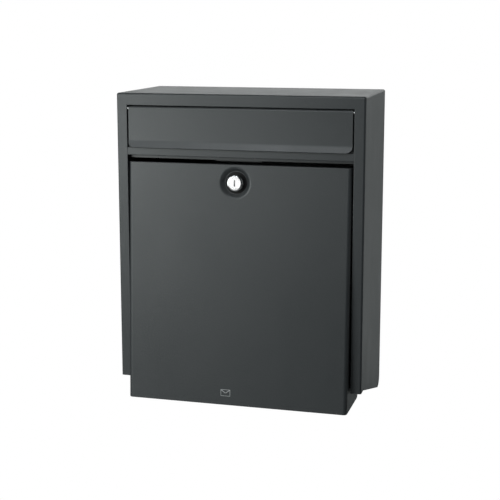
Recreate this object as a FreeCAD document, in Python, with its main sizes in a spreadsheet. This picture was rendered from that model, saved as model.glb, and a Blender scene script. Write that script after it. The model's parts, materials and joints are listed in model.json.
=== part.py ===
"""Wall mailbox of folded steel sheet: casing, letter flap, drop-down collection door, cam lock.

Frame: +X right as seen from the front, +Y towards the wall, +Z up.  The origin is the middle of
the wall-screw pattern on the back face, so the wall is the plane Y = 0.
"""
import FreeCAD, Part
import math
import os

import Sketcher

SHEET = "Sizes"

SIZES = [
    # casing
    ("casing_wide", 280.0, "width over the side panels"),
    ("casing_deep", 140.0, "depth from the wall to the front border"),
    ("front_high", 326.0, "height of the front border"),
    ("roof_up", 165.0, "roof above the middle of the wall holes"),
    ("steel", 1.0, "sheet thickness"),
    ("bend_round", 2.2, "outside radius of the folds"),
    ("border_side", 12.2, "width of the border beside the openings"),
    ("border_top", 13.5, "height of the border above the flap"),
    ("border_return", 12.0, "depth of the fold behind the border"),
    ("border_edge", 0.6, "radius on the edge of the openings"),
    ("floor_flat", 14.0, "level run at the front of the floor"),
    ("floor_slope", 16.0, "fall of the floor towards the wall, degrees"),
    ("floor_round", 12.0, "outside radius where the floor meets the back"),
    ("floor_inset", 1.0, "underside of the floor above the side edges"),
    ("floor_lip_back", 3.0, "floor lip behind the front plane"),
    ("floor_lip_high", 9.0, "height of the floor lip"),
    ("back_fold", 14.0, "depth of the folds beside the back"),
    ("hole_span_x", 180.0, "wall holes, centre to centre across"),
    ("hole_span_z", 200.0, "wall holes, centre to centre upright"),
    ("hole_radius", 3.0, "wall hole"),
    # cross rail between flap and door
    ("rail_drop", 60.5, "roof to the top of the rail"),
    ("rail_high", 8.3, "height of the rail's face"),
    ("rail_top_back", 3.0, "rail's upper lip behind its face"),
    ("rail_lip_up", 8.0, "height of the upper lip"),
    ("rail_low_back", 7.0, "rail's lower lip behind its face"),
    ("rail_lip_down", 3.5, "height of the lower lip"),
    ("strike_wide", 52.0, "width of the strike plate"),
    ("strike_gap", 0.7, "turned-up cam behind the strike"),
    ("strike_clear", 1.8, "strike above the door"),
    # letter flap
    ("flap_gap", 1.0, "gap above the flap"),
    ("flap_side_gap", 1.5, "gap beside the flap"),
    ("flap_bend_up", 9.0, "bend of the flap above the rail"),
    ("flap_lip_long", 9.2, "length of the flared lip"),
    ("flap_lip_angle", 22.0, "flare of the lip, degrees"),
    ("flap_corner", 7.0, "radius of the lower corners"),
    ("rod_radius", 1.5, "hinge rod"),
    ("rod_slack", 0.06, "radial clearance of the flap on its rod"),
    ("rod_play", 0.5, "end of the rod to the side panel"),
    ("buffer_radius", 3.0, "rubber buffers"),
    ("buffer_gap", 0.35, "buffer to what closes on it"),
    ("flap_buffer_x", 80.0, "flap buffers either side of the middle"),
    # door
    ("door_top_gap", 7.4, "gap between the rail and the door"),
    ("door_gap", 1.4, "gap beside the door"),
    ("door_round", 4.2, "outside radius of the door's side folds"),
    ("door_edge", 0.8, "radius along the door's top and foot"),
    ("door_below", 21.1, "foot of the door below the front border"),
    ("door_lean", 2.66, "lean of the closed door, degrees"),
    ("door_proud", 0.8, "top edge in front of the border"),
    ("door_side_fold", 10.0, "depth of the door's side folds"),
    ("door_top_fold", 6.0, "depth of the door's top fold"),
    ("door_hem", 4.0, "depth of the hem at the foot"),
    ("cheek_reach", 75.0, "cheek from the door's face to its tail"),
    ("cheek_high", 62.0, "cheek above the foot of the door"),
    ("cheek_tail", 16.0, "height of the cheek's tail"),
    ("cheek_round", 6.0, "radius of the cheek's tail corners"),
    ("cheek_slot_gap", 2.2, "floor slot beside the cheek"),
    ("hinge_in", 7.0, "hinge pin behind the door's face"),
    ("hinge_up", 25.0, "hinge pin above the foot of the door"),
    ("pin_radius", 2.0, "hinge pin"),
    ("pin_slack", 0.08, "radial clearance of the cheek on its pin"),
    ("pin_head_radius", 3.5, "head of the hinge pin"),
    ("pin_head_thick", 1.6, "thickness of the head"),
    ("ear_thick", 2.0, "hinge ear"),
    ("ear_radius", 3.5, "rounded end of the ear"),
    ("ear_foot", 13.0, "width of the ear's foot"),
    ("washer_thick", 1.4, "washer between ear and cheek"),
    ("washer_radius", 3.5, "outside of that washer"),
    ("washer_slack", 0.1, "washer hole around the pin"),
    ("side_play", 0.2, "washer to cheek"),
    ("stop_drop", 34.0, "door stop below the top edge of the door"),
    ("stop_high", 16.0, "height of the stop plate"),
    ("stop_in", 6.0, "stop plate inside the buffer's middle"),
    ("stop_over", 5.0, "stop plate beyond the border's opening"),
    # rivets
    ("rivet_radius", 1.5, "rivet shank"),
    ("rivet_head", 2.5, "rivet head"),
    ("rivet_thick", 0.8, "thickness of the rivet head"),
    # lock
    ("lock_x", -2.5, "lock from the middle of the door"),
    ("lock_down", 20.0, "lock below the top edge of the door"),
    ("dish_radius", 16.6, "pressed dish at the door's face"),
    ("dish_floor", 12.8, "floor of the dish"),
    ("dish_deep", 4.0, "depth of the dish"),
    ("dish_round", 3.6, "outside radius of the dish's rim"),
    ("gasket_radius", 12.2, "rubber ring around the lock"),
    ("gasket_thick", 0.8, "thickness of the rubber ring"),
    ("head_radius", 9.0, "lock head"),
    ("head_out", 3.4, "lock head in front of the door's face"),
    ("head_edge", 1.2, "chamfer of the lock head"),
    ("barrel_radius", 8.0, "threaded barrel"),
    ("barrel_slack", 0.1, "door, gasket and nut around the barrel"),
    ("barrel_end", 16.0, "end of the barrel behind the door's face"),
    ("plug_radius", 6.2, "turning plug"),
    ("plug_face_radius", 7.2, "face of the plug"),
    ("plug_face_deep", 1.5, "thickness of the plug's face"),
    ("plug_slack", 0.08, "clearance of the plug"),
    ("plug_stub", 3.4, "stub that carries the cam"),
    ("key_high", 7.0, "height of the keyway"),
    ("key_wide", 1.5, "width of the keyway"),
    ("key_deep", 12.0, "depth of the keyway"),
    ("nut_flats", 22.0, "nut across its flats"),
    ("nut_thick", 4.0, "thickness of the nut"),
    ("cam_reach", 28.0, "cam from the lock's axis to its tip"),
    ("cam_wide", 12.0, "width of the cam"),
    ("cam_thick", 1.8, "thickness of the cam"),
    ("cam_gap", 0.4, "cam behind the barrel"),
    ("screw_radius", 2.0, "cam screw"),
    ("screw_head", 3.6, "head of the cam screw"),
    ("screw_head_thick", 2.0, "thickness of the head"),
    ("screw_deep", 8.0, "cam screw inside the plug"),
    ("cam_washer_radius", 4.8, "cam washer"),
    ("cam_washer_thick", 0.7, "thickness of the cam washer"),
]


class Size:
    """A length or angle: its number, and the sheet expression that it comes from."""

    def __init__(self, number, text):
        self.number = float(number)
        self.text = text

    def __add__(self, other):
        other = as_size(other)
        return Size(self.number + other.number, f"({self.text} + {other.text})")

    def __sub__(self, other):
        other = as_size(other)
        return Size(self.number - other.number, f"({self.text} - {other.text})")

    def __mul__(self, other):
        other = as_size(other)
        return Size(self.number * other.number, f"({self.text} * {other.text})")

    def __truediv__(self, other):
        other = as_size(other)
        return Size(self.number / other.number, f"({self.text} / {other.text})")

    def __radd__(self, other):
        return as_size(other) + self

    def __rsub__(self, other):
        return as_size(other) - self

    def __rmul__(self, other):
        return as_size(other) * self

    def __neg__(self):
        return as_size(-1) * self


def as_size(value):
    return value if isinstance(value, Size) else Size(value, f"{float(value):g}")


def sine(angle):
    return Size(math.sin(math.radians(angle.number)), f"sin({angle.text} * 1 deg)")


def cosine(angle):
    return Size(math.cos(math.radians(angle.number)), f"cos({angle.text} * 1 deg)")


def tangent(angle):
    return Size(math.tan(math.radians(angle.number)), f"tan({angle.text} * 1 deg)")


class Named:
    """The driving sizes as attributes."""


doc = FreeCAD.newDocument("mailbox")


def fill_sheet():
    sheet = doc.addObject("Spreadsheet::Sheet", SHEET)
    named = Named()
    for row, (alias, value, note) in enumerate(SIZES, start=1):
        sheet.set(f"A{row}", note)
        sheet.set(f"B{row}", f"{value:g}")
        sheet.setAlias(f"B{row}", alias)
        setattr(named, alias, Size(value, f"{SHEET}.{alias}"))
    doc.recompute()
    return named


dims = fill_sheet()

# Planes and edges that several pieces share.
front = -dims.casing_deep
half_wide = dims.casing_wide / 2
roof = dims.roof_up
under_roof = roof - dims.steel
front_foot = roof - dims.front_high
open_half = half_wide - dims.border_side
open_top = roof - dims.border_top
rail_top = roof - dims.rail_drop
rail_foot = rail_top - dims.rail_high
knuckle = dims.rod_radius + dims.rod_slack + dims.steel
rod_y = front + knuckle
rod_z = open_top - dims.flap_gap - knuckle
flap_half = open_half - dims.flap_side_gap
floor_under = front_foot + dims.floor_inset
floor_fall = (dims.casing_deep - dims.floor_flat) * tangent(dims.floor_slope)
lip_y = front + dims.floor_lip_back

# The door's own frame: origin at the middle of its top edge on the outer face, +Y into the box.
door_half = open_half - dims.door_gap
door_y = front - dims.door_proud
door_z = rail_foot - dims.door_top_gap
door_long = (door_z - front_foot + dims.door_below) / cosine(dims.door_lean)
cheek_in = door_half - dims.steel
hinge_low = door_long - dims.hinge_up


def door_point_y(y, z):
    return door_y + y * cosine(dims.door_lean) + z * sine(dims.door_lean)


def door_point_z(y, z):
    return door_z - y * sine(dims.door_lean) + z * cosine(dims.door_lean)


hinge_y = door_point_y(dims.hinge_in, -hinge_low)
hinge_z = door_point_z(dims.hinge_in, -hinge_low)
dish_back = dims.dish_deep + dims.steel
head_seat = dims.dish_deep - dims.gasket_thick
cam_front = dims.barrel_end + dims.cam_gap
cam_back = cam_front + dims.cam_thick

PIECES = []


def bind(thing, prop, size):
    size = as_size(size)
    thing.setExpression(prop, size.text)


def new_body(label):
    body = doc.addObject("PartDesign::Body", label)
    body.Label = label
    PIECES.append(body)
    return body


def new_sketch(body, name, plane, offset):
    """A sketch on one of the body's planes, moved along that plane's normal."""
    sketch = body.newObject("Sketcher::SketchObject", f"{body.Name}_{name}")
    origin_plane = next(item for item in body.Origin.OriginFeatures if item.Role == plane)
    sketch.AttachmentSupport = [(origin_plane, "")]
    sketch.MapMode = "FlatFace"
    offset = as_size(offset)
    sketch.AttachmentOffset.Base.z = offset.number
    bind(sketch, "AttachmentOffset.Base.z", offset)
    return sketch


def place_point(sketch, geometry, point, x, y):
    """Tie a sketch point to its two distances from the sketch's origin."""
    for kind, size in (("DistanceX", as_size(x)), ("DistanceY", as_size(y))):
        rule = Sketcher.Constraint(kind, -1, 1, geometry, point, size.number)
        index = sketch.addConstraint(rule)
        bind(sketch, f"Constraints[{index}]", size)


def draw_polygon(sketch, corners):
    corners = [(as_size(x), as_size(y)) for x, y in corners]
    spots = [FreeCAD.Vector(x.number, y.number, 0) for x, y in corners]
    first = sketch.GeometryCount
    count = len(spots)
    for index in range(count):
        line = Part.LineSegment(spots[index], spots[(index + 1) % count])
        sketch.addGeometry(line, False)
    for index in range(count):
        following = first + (index + 1) % count
        sketch.addConstraint(Sketcher.Constraint("Coincident", first + index, 2, following, 1))
    for index, (x, y) in enumerate(corners):
        place_point(sketch, first + index, 1, x, y)


def draw_circle(sketch, x, y, radius):
    x, y, radius = as_size(x), as_size(y), as_size(radius)
    centre = FreeCAD.Vector(x.number, y.number, 0)
    circle = Part.Circle(centre, FreeCAD.Vector(0, 0, 1), radius.number)
    index = sketch.addGeometry(circle, False)
    place_point(sketch, index, 3, x, y)
    rule = sketch.addConstraint(Sketcher.Constraint("Radius", index, radius.number))
    bind(sketch, f"Constraints[{rule}]", radius)


def polygon(body, name, plane, offset, corners):
    sketch = new_sketch(body, name, plane, offset)
    draw_polygon(sketch, corners)
    return sketch


def rectangle(body, name, plane, offset, low, high):
    (x0, y0), (x1, y1) = low, high
    return polygon(body, name, plane, offset, [(x0, y0), (x1, y0), (x1, y1), (x0, y1)])


def circles(body, name, plane, offset, places, radius):
    sketch = new_sketch(body, name, plane, offset)
    for x, y in places:
        draw_circle(sketch, x, y, radius)
    return sketch


def pad(body, sketch, length, both=False, back=False):
    feature = body.newObject("PartDesign::Pad", f"{sketch.Name}_pad")
    feature.Profile = sketch
    bind(feature, "Length", length)
    feature.SideType = "Symmetric" if both else "One side"
    feature.Reversed = back
    doc.recompute()
    return feature


def pocket(body, sketch, length, both=False, back=False):
    """Cut a sketch away, and stop if the cut took nothing."""
    before = body.Shape.Volume
    feature = body.newObject("PartDesign::Pocket", f"{sketch.Name}_cut")
    feature.Profile = sketch
    bind(feature, "Length", length)
    feature.SideType = "Symmetric" if both else "One side"
    feature.Reversed = back
    doc.recompute()
    if body.Shape.Volume >= before:
        raise ValueError(f"{sketch.Name} cut nothing")
    return feature


def turned(body, name, profile):
    """A full turn about the body's Y axis of a profile given as (radius, y) corners."""
    sketch = polygon(body, name, "XY_Plane", 0, profile)
    feature = body.newObject("PartDesign::Revolution", f"{sketch.Name}_turn")
    feature.Profile = sketch
    feature.ReferenceAxis = (sketch, ["V_Axis"])
    feature.Angle = 360.0
    doc.recompute()
    return feature


def fillet(body, name, radius, chosen):
    """Round the edges of the body for which chosen(low, high) is true."""
    names = []
    for index, edge in enumerate(body.Shape.Edges, start=1):
        box = edge.BoundBox
        low = (box.XMin, box.YMin, box.ZMin)
        high = (box.XMax, box.YMax, box.ZMax)
        if chosen(low, high):
            names.append(f"Edge{index}")
    if not names:
        raise ValueError(f"{body.Label} {name} finds no edge")
    base = body.Tip
    feature = body.newObject("PartDesign::Fillet", f"{body.Name}_{name}")
    feature.Base = (base, names)
    bind(feature, "Radius", radius)
    doc.recompute()
    return feature


def near(value, size):
    return abs(value - as_size(size).number) < 0.01


def flat_at(low, high, axis, size):
    """True when an edge lies in the plane where that axis equals the size."""
    return near(low[axis], size) and near(high[axis], size)


def runs_along(low, high, axis):
    spans = [high[i] - low[i] for i in range(3)]
    return all(spans[i] < 0.01 for i in range(3) if i != axis)


def solid_box(name, low, size):
    box = doc.addObject("Part::Box", name)
    for prop, value in zip(("Length", "Width", "Height"), size):
        bind(box, prop, value)
    for letter, value in zip("xyz", low):
        bind(box, f"Placement.Base.{letter}", value)
    return box


def solid_rod(name, axis, start, radius, length):
    """A cylinder from its start point along +X, +Y or +Z."""
    rod = doc.addObject("Part::Cylinder", name)
    bind(rod, "Radius", radius)
    bind(rod, "Height", length)
    turn = FreeCAD.Rotation(FreeCAD.Vector(0, 0, 1), FreeCAD.Vector(*axis))
    rod.Placement = FreeCAD.Placement(FreeCAD.Vector(0, 0, 0), turn)
    for letter, value in zip("xyz", start):
        bind(rod, f"Placement.Base.{letter}", value)
    return rod


def fuse(name, parts):
    joined = doc.addObject("Part::MultiFuse", name)
    joined.Shapes = parts
    return joined


def cut(name, base, tool):
    result = doc.addObject("Part::Cut", name)
    result.Base = base
    result.Tool = tool
    return result


def group(label, parts):
    """Identical loose pieces that share one node."""
    node = doc.addObject("Part::Compound", label)
    node.Label = label
    node.Links = parts
    PIECES.append(node)
    return node


def lean_with_door(body, x, y, z):
    """Set a body in the door's own frame, at a point given in that frame."""
    turn = FreeCAD.Rotation(FreeCAD.Vector(-1, 0, 0), dims.door_lean.number)
    body.Placement = FreeCAD.Placement(FreeCAD.Vector(0, 0, 0), turn)
    body.setExpression("Placement.Rotation.Angle", f"{dims.door_lean.text} * 1 deg")
    bind(body, "Placement.Base.x", x)
    bind(body, "Placement.Base.y", door_point_y(as_size(y), as_size(z)))
    bind(body, "Placement.Base.z", door_point_z(as_size(y), as_size(z)))
    doc.recompute()


def casing_wrap():
    """Roof, sides and front border, folded from one sheet."""
    body = new_body("casing_wrap")
    foot = front_foot - floor_fall - dims.floor_round
    outline = rectangle(body, "outline", "XZ_Plane", 0, (-half_wide, foot), (half_wide, roof))
    pad(body, outline, dims.casing_deep)
    inner = half_wide - dims.steel
    hollow = rectangle(body, "hollow", "XZ_Plane", 0, (-inner, foot - 1), (inner, under_roof))
    pocket(body, hollow, dims.casing_deep - dims.steel, back=True)
    mouth = rectangle(body, "mouth", "XZ_Plane", dims.casing_deep,
                      (-open_half, foot - 1), (open_half, open_top))
    pocket(body, mouth, dims.steel)
    outer = open_half + dims.steel
    fold = polygon(body, "fold", "XZ_Plane", dims.casing_deep, [
        (-outer, front_foot), (-open_half, front_foot), (-open_half, open_top),
        (open_half, open_top), (open_half, front_foot), (outer, front_foot),
        (outer, open_top + dims.steel), (-outer, open_top + dims.steel)])
    pad(body, fold, dims.border_return, back=True)
    side_foot = polygon(body, "side_foot", "YZ_Plane", 0, [
        (front - 1, front_foot), (front + dims.floor_flat, front_foot),
        (0, front_foot - floor_fall), (1, front_foot - floor_fall),
        (1, foot - 1), (front - 1, foot - 1)])
    pocket(body, side_foot, dims.casing_wide + 2, both=True)
    rod_holes = circles(body, "rod_holes", "YZ_Plane", 0, [(rod_y, rod_z)], dims.rod_radius)
    pocket(body, rod_holes, 2 * (outer + dims.steel), both=True)
    fillet(body, "foot_round", dims.floor_round,
           lambda low, high: flat_at(low, high, 1, 0) and flat_at(low, high, 2, front_foot - floor_fall))
    fillet(body, "folds", dims.bend_round, outer_fold)
    fillet(body, "mouth_edge", dims.border_edge, mouth_edge)
    return body


def outer_fold(low, high):
    at_side = flat_at(low, high, 0, half_wide) or flat_at(low, high, 0, -half_wide)
    at_front = flat_at(low, high, 1, front)
    at_roof = flat_at(low, high, 2, roof)
    return (at_side and at_front) or (at_side and at_roof) or (at_front and at_roof)


def mouth_edge(low, high):
    at_front = flat_at(low, high, 1, front)
    at_side = flat_at(low, high, 0, open_half) or flat_at(low, high, 0, -open_half)
    return at_front and (at_side or flat_at(low, high, 2, open_top))


def back_panel():
    """Back and sloping floor in one sheet, with folds that are welded to the sides."""
    body = new_body("back_panel")
    slope = tangent(dims.floor_slope)
    rise = dims.steel / cosine(dims.floor_slope)
    flat_end = front + dims.floor_flat
    flat_end_in = flat_end + dims.steel * tangent(dims.floor_slope / 2)
    corner_in = floor_under - (dims.casing_deep - dims.floor_flat - dims.steel) * slope + rise
    section = polygon(body, "section", "YZ_Plane", 0, [
        (0, under_roof), (0, floor_under - floor_fall), (flat_end, floor_under),
        (lip_y, floor_under), (lip_y, floor_under + dims.floor_lip_high),
        (lip_y + dims.steel, floor_under + dims.floor_lip_high),
        (lip_y + dims.steel, floor_under + dims.steel),
        (flat_end_in, floor_under + dims.steel), (-dims.steel, corner_in), (-dims.steel, under_roof)])
    pad(body, section, dims.casing_wide - 2 * dims.steel, both=True)
    fillet(body, "back_round", dims.floor_round - dims.floor_inset,
           lambda low, high: flat_at(low, high, 1, 0) and flat_at(low, high, 2, floor_under - floor_fall))
    fillet(body, "inside_round", dims.floor_round - dims.floor_inset - dims.steel,
           lambda low, high: flat_at(low, high, 1, -dims.steel) and flat_at(low, high, 2, corner_in))
    fold_foot = front_foot
    for side, sign in (("left", -1), ("right", 1)):
        face = sign * (half_wide - dims.steel)
        fold = rectangle(body, f"{side}_fold", "XY_Plane", fold_foot,
                         (face - sign * dims.steel, -dims.back_fold), (face, 0))
        pad(body, fold, under_roof - fold_foot)
    for side, sign in (("left", -1), ("right", 1)):
        slot = rectangle(body, f"{side}_slot", "XY_Plane", floor_under + dims.floor_lip_high + 1,
                         (sign * (cheek_in - dims.cheek_slot_gap), front),
                         (sign * (door_half + dims.cheek_slot_gap), front + dims.cheek_reach))
        pocket(body, slot, dims.floor_lip_high + 1 + floor_fall)
    for side, sign in (("left", -1), ("right", 1)):
        notch = rectangle(body, f"{side}_notch", "XY_Plane", floor_under + dims.floor_lip_high + 1,
                          (sign * open_half, front - 1), (sign * half_wide, front + dims.border_return))
        pocket(body, notch, dims.floor_lip_high + 1 + floor_fall)
    rivets = circles(body, "ear_rivet_holes", "XZ_Plane", -lip_y,
                     [ear_rivet_place(-1), ear_rivet_place(1)], dims.rivet_radius)
    pocket(body, rivets, 3 * dims.steel, both=True)
    across, up = dims.hole_span_x / 2, dims.hole_span_z / 2
    holes = circles(body, "wall_holes", "XZ_Plane", 0,
                    [(-across, -up), (across, -up), (-across, up), (across, up)], dims.hole_radius)
    pocket(body, holes, 4 * dims.steel, both=True)
    return body


def cross_rail():
    """Rail between the flap and the door, with a lip behind each of them."""
    body = new_body("cross_rail")
    up_lip = front + dims.rail_top_back
    down_lip = front + dims.rail_low_back
    section = polygon(body, "section", "YZ_Plane", 0, [
        (front, rail_foot), (front, rail_top), (up_lip, rail_top),
        (up_lip, rail_top + dims.rail_lip_up), (up_lip + dims.steel, rail_top + dims.rail_lip_up),
        (up_lip + dims.steel, rail_top - dims.steel), (front + dims.steel, rail_top - dims.steel),
        (front + dims.steel, rail_foot + dims.steel), (down_lip + dims.steel, rail_foot + dims.steel),
        (down_lip + dims.steel, rail_foot - dims.rail_lip_down), (down_lip, rail_foot - dims.rail_lip_down),
        (down_lip, rail_foot)])
    pad(body, section, 2 * open_half, both=True)
    rivets = circles(body, "rivet_holes", "XY_Plane", rail_foot, strike_rivet_places(), dims.rivet_radius)
    pocket(body, rivets, 3 * dims.steel, both=True)
    fillet(body, "folds", dims.border_edge,
           lambda low, high: flat_at(low, high, 1, front) and runs_along(low, high, 0))
    return body


def strike_rivet_places():
    away = dims.strike_wide / 2 - 2 * dims.rivet_head
    y = front + (dims.rail_low_back + dims.steel) / 2
    return [(dims.lock_x - away, y), (dims.lock_x + away, y)]


def strike_plate():
    """Angle riveted inside the rail; the lock's cam turns up behind it."""
    body = new_body("strike_plate")
    seat = rail_foot + dims.steel
    start = front + dims.steel + dims.rail_low_back / 2 - dims.rivet_head
    hook = door_point_y(cam_front, dims.strike_clear) - dims.strike_gap - dims.steel
    section = polygon(body, "section", "YZ_Plane", dims.lock_x, [
        (start, seat), (start, seat + dims.steel), (hook + dims.steel, seat + dims.steel),
        (hook + dims.steel, door_z + dims.strike_clear), (hook, door_z + dims.strike_clear), (hook, seat)])
    pad(body, section, dims.strike_wide, both=True)
    rivets = circles(body, "rivet_holes", "XY_Plane", seat, strike_rivet_places(), dims.rivet_radius)
    pocket(body, rivets, 3 * dims.steel, both=True)
    return body


def strike_rivets():
    """Rivets through rail and strike, set flat underneath where the door's gap shows them."""
    parts = []
    tail_thick = dims.rivet_thick / 2
    for index, (x, y) in enumerate(strike_rivet_places()):
        top = rail_foot + 2 * dims.steel
        shank = solid_rod(f"strike_shank_{index}", (0, 0, 1), (x, y, rail_foot), dims.rivet_radius,
                          2 * dims.steel)
        head = solid_rod(f"strike_head_{index}", (0, 0, 1), (x, y, top), dims.rivet_head, dims.rivet_thick)
        tail = solid_rod(f"strike_tail_{index}", (0, 0, 1), (x, y, rail_foot - tail_thick),
                         dims.rivet_head, tail_thick)
        parts.append(fuse(f"strike_rivet_{index}", [shank, head, tail]))
    return group("strike_rivets", parts)


def flap_panel():
    """Letter flap: rolled over its rod at the top, flared lip at the foot."""
    body = new_body("flap_panel")
    bend = rail_top + dims.flap_bend_up
    angle = dims.flap_lip_angle
    lip_foot = bend - dims.flap_lip_long * cosine(angle)
    lip_front = front - dims.flap_lip_long * sine(angle)
    section = polygon(body, "section", "YZ_Plane", 0, [
        (front, rod_z), (front, bend), (lip_front, lip_foot),
        (lip_front + dims.steel * cosine(angle), lip_foot - dims.steel * sine(angle)),
        (front + dims.steel, bend - dims.steel * tangent(angle / 2)), (front + dims.steel, rod_z)])
    pad(body, section, 2 * flap_half, both=True)
    roll = circles(body, "roll", "YZ_Plane", 0, [(rod_y, rod_z)], knuckle)
    pad(body, roll, 2 * flap_half, both=True)
    bore = circles(body, "bore", "YZ_Plane", 0, [(rod_y, rod_z)], dims.rod_radius + dims.rod_slack)
    pocket(body, bore, 2 * flap_half + 2, both=True)

    def lip_corner(low, high):
        at_end = flat_at(low, high, 0, flap_half) or flat_at(low, high, 0, -flap_half)
        return at_end and high[2] < lip_foot.number + 0.01

    fillet(body, "lip_corners", dims.flap_corner, lip_corner)
    return body


def flap_rod():
    """Rod in the border's folds; the side panels keep it from sliding out."""
    length = 2 * (half_wide - dims.steel - dims.rod_play)
    rod = solid_rod("flap_rod", (1, 0, 0), (-length / 2, rod_y, rod_z), dims.rod_radius, length)
    PIECES.append(rod)
    return rod


def flap_buffers():
    """Rubber pads on the rail's upper lip, which the closed flap rests on."""
    under_bend = dims.flap_bend_up - dims.rail_lip_up / 2 - dims.buffer_radius
    start = front + dims.steel + dims.buffer_gap - under_bend * tangent(dims.flap_lip_angle)
    thick = front + dims.rail_top_back - start
    z = rail_top + dims.rail_lip_up / 2
    parts = []
    for side, sign in (("left", -1), ("right", 1)):
        place = (sign * dims.flap_buffer_x, start, z)
        parts.append(solid_rod(f"flap_buffer_{side}", (0, 1, 0), place, dims.buffer_radius, thick))
    return group("flap_buffers", parts)


def door_panel():
    """Collection door: a shallow pan with a cheek at each side of its foot."""
    body = new_body("door_panel")
    foot = -door_long
    outline = rectangle(body, "outline", "XZ_Plane", 0, (-door_half, foot), (door_half, 0))
    pad(body, outline, dims.door_side_fold, back=True)
    hollow = rectangle(body, "hollow", "XZ_Plane", -dims.steel,
                       (-cheek_in, foot + dims.steel), (cheek_in, -dims.steel))
    pocket(body, hollow, dims.door_side_fold)
    fillet(body, "inside_folds", dims.door_round - dims.steel, door_inside_fold)
    fillet(body, "side_folds", dims.door_round, door_side_edge)
    top_trim = rectangle(body, "top_trim", "XZ_Plane", -dims.door_top_fold,
                         (-cheek_in, -2 * dims.steel), (cheek_in, 1))
    pocket(body, top_trim, dims.door_side_fold)
    hem_trim = rectangle(body, "hem_trim", "XZ_Plane", -dims.door_hem,
                         (-cheek_in, foot - 1), (cheek_in, foot + 2 * dims.steel))
    pocket(body, hem_trim, dims.door_side_fold)
    tail = dims.cheek_reach
    for side, start in (("left", -door_half), ("right", cheek_in)):
        cheek = polygon(body, f"{side}_cheek", "YZ_Plane", start, [
            (dims.door_round, foot), (tail, foot), (tail, foot + dims.cheek_tail),
            (dims.door_side_fold, foot + dims.cheek_high), (dims.door_round, foot + dims.cheek_high)])
        pad(body, cheek, dims.steel)

    def tail_corner(low, high):
        return near(low[1], tail) and near(high[1], tail) and runs_along(low, high, 0)

    fillet(body, "tail_round", dims.cheek_round, tail_corner)
    pin_holes = circles(body, "pin_holes", "YZ_Plane", 0, [(dims.hinge_in, -hinge_low)],
                        dims.pin_radius + dims.pin_slack)
    pocket(body, pin_holes, 2 * door_half + 2, both=True)
    dish_gap = circles(body, "dish_gap", "XZ_Plane", 0, [(dims.lock_x, -dims.lock_down)], dims.dish_radius)
    pocket(body, dish_gap, 2 * dims.steel, both=True)
    door_dish(body)
    fillet(body, "dish_back_rim", dims.dish_round - dims.steel, dish_back_rim)
    fillet(body, "dish_rim", dims.dish_round, dish_rim)
    fillet(body, "end_edges", dims.door_edge, door_end_edge)
    lean_with_door(body, 0, 0, 0)
    return body


def door_dish(body):
    """The pressed dish, turned about the lock's axis."""
    sketch = new_sketch(body, "dish", "XY_Plane", -dims.lock_down)
    hole = dims.barrel_radius + dims.barrel_slack
    profile = [(dims.dish_radius + dims.steel, 0), (dims.dish_radius, 0), (dims.dish_floor, dims.dish_deep),
               (hole, dims.dish_deep), (hole, dish_back), (dims.dish_floor, dish_back),
               (dims.dish_radius, dims.steel), (dims.dish_radius + dims.steel, dims.steel)]
    draw_polygon(sketch, [(dims.lock_x + radius, y) for radius, y in profile])
    axis = sketch.addGeometry(Part.LineSegment(FreeCAD.Vector(dims.lock_x.number, 0, 0),
                                               FreeCAD.Vector(dims.lock_x.number, 10, 0)), True)
    place_point(sketch, axis, 1, dims.lock_x, 0)
    place_point(sketch, axis, 2, dims.lock_x, 10)
    feature = body.newObject("PartDesign::Revolution", "dish_turn")
    feature.Profile = sketch
    feature.ReferenceAxis = (sketch, ["Axis0"])
    feature.Angle = 360.0
    doc.recompute()


def within_dish(low, high):
    radius = dims.dish_radius.number + 0.01
    beside = abs(low[0] - dims.lock_x.number) < radius and abs(high[0] - dims.lock_x.number) < radius
    level = abs(low[2] + dims.lock_down.number) < radius and abs(high[2] + dims.lock_down.number) < radius
    return beside and level


def dish_rim(low, high):
    """True for the circle where the dish meets the door's face."""
    return flat_at(low, high, 1, 0) and within_dish(low, high)


def dish_back_rim(low, high):
    """True for the circle where the dish meets the back of the door's sheet."""
    return flat_at(low, high, 1, dims.steel) and within_dish(low, high)


def door_inside_fold(low, high):
    at_side = flat_at(low, high, 0, cheek_in) or flat_at(low, high, 0, -cheek_in)
    return at_side and flat_at(low, high, 1, dims.steel)


def door_side_edge(low, high):
    at_side = flat_at(low, high, 0, door_half) or flat_at(low, high, 0, -door_half)
    return at_side and flat_at(low, high, 1, 0)


def door_end_edge(low, high):
    at_end = flat_at(low, high, 2, 0) or flat_at(low, high, 2, -door_long)
    return at_end and flat_at(low, high, 1, 0)


def hinge_ear(side, sign):
    """Bracket on the floor's lip that holds one hinge pin behind the door's face."""
    body = new_body(f"hinge_ear_{side}")
    outer = cheek_in - dims.side_play - dims.washer_thick
    start = outer - dims.ear_thick if sign > 0 else -outer
    arm = rectangle(body, "arm", "YZ_Plane", start,
                    (hinge_y, hinge_z - dims.ear_radius), (lip_y, hinge_z + dims.ear_radius))
    pad(body, arm, dims.ear_thick)
    nose = circles(body, "nose", "YZ_Plane", start, [(hinge_y, hinge_z)], dims.ear_radius)
    pad(body, nose, dims.ear_thick)
    foot = rectangle(body, "foot", "XZ_Plane", -lip_y,
                     (sign * (outer - dims.ear_foot), floor_under),
                     (sign * outer, floor_under + dims.floor_lip_high))
    pad(body, foot, dims.ear_thick)
    hole = circles(body, "pin_hole", "YZ_Plane", 0, [(hinge_y, hinge_z)], dims.pin_radius)
    pocket(body, hole, 2 * door_half, both=True)
    rivet = circles(body, "rivet_hole", "XZ_Plane", -lip_y, [ear_rivet_place(sign)], dims.rivet_radius)
    pocket(body, rivet, 3 * dims.ear_thick, both=True)
    return body


def ear_rivet_place(sign):
    outer = cheek_in - dims.side_play - dims.washer_thick
    middle = outer - dims.ear_thick - (dims.ear_foot - dims.ear_thick) / 2
    return sign * middle, floor_under + dims.floor_lip_high / 2


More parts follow.
